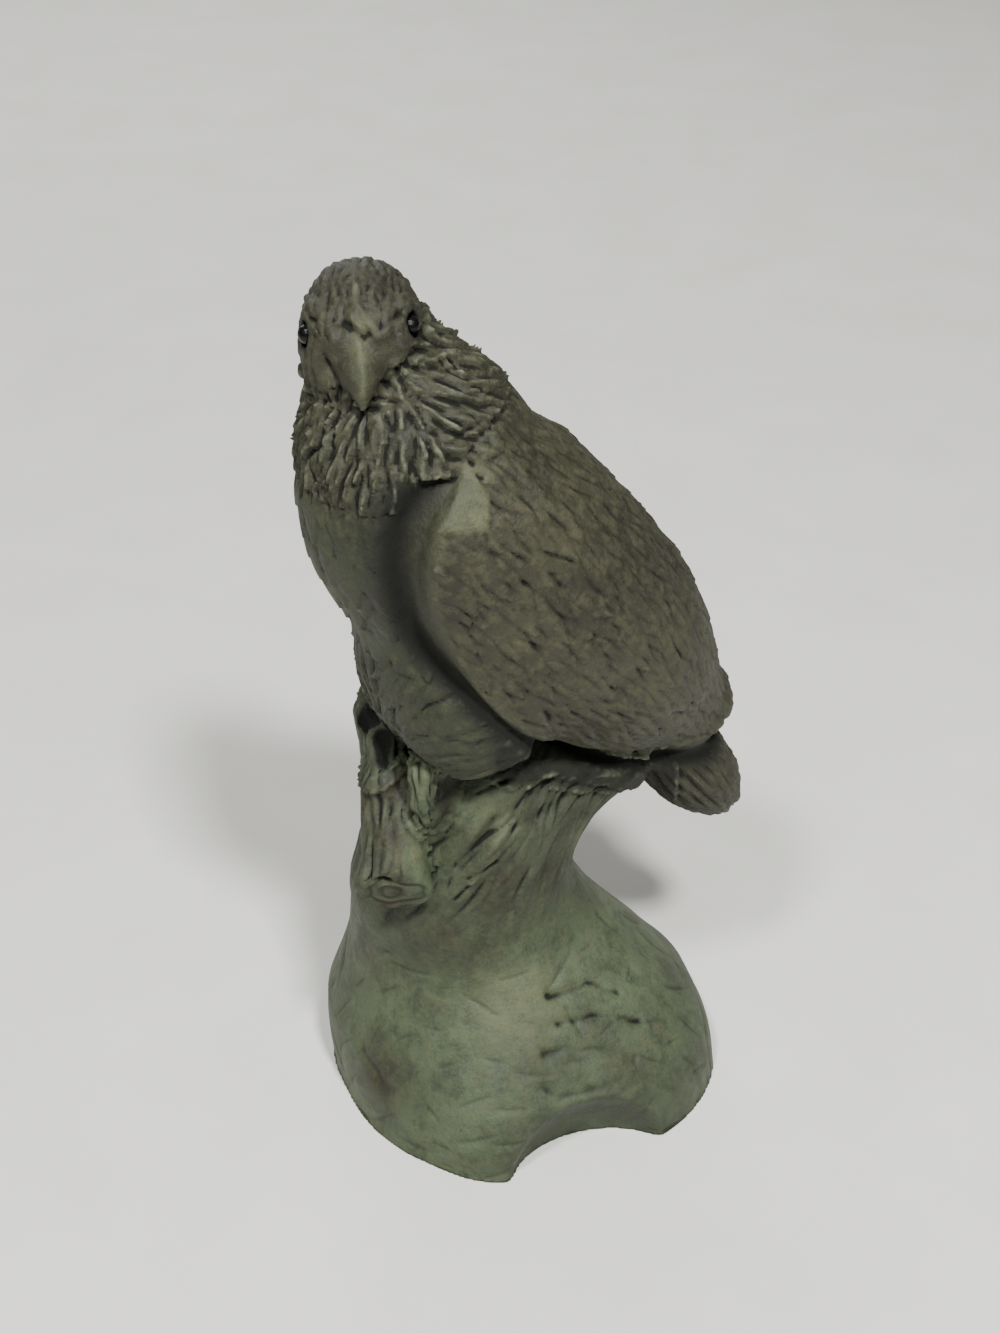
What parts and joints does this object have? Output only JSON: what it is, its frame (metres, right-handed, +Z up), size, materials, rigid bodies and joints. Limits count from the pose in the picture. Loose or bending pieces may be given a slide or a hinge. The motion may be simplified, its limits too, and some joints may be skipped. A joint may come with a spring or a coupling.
{
  "type": "bird of prey sculpture on stump",
  "caption": "Carved stone bird of prey with folded wings and black bead eyes, looking over its shoulder from a rough stump with a sawn branch stub and a flat-bottomed base",
  "frame": {"origin": "on the flat underside of the base, below the stump", "axes": "+Z up from the underside to the crown; the bird's face looks towards -Y, its breast is turned about 60 degrees from -Y towards -X, and its tail points towards +X"},
  "size_m": [0.0863, 0.0752, 0.1798],
  "materials": {
    "stone": "grey-green carved stone, waxed, with darker hollows and paler worn ridges",
    "black_bead": "glossy black bead"
  },
  "bodies": {
    "root": {"carving": "stone", "left_eye": "black_bead", "right_eye": "black_bead"}
  },
  "joints": []
}
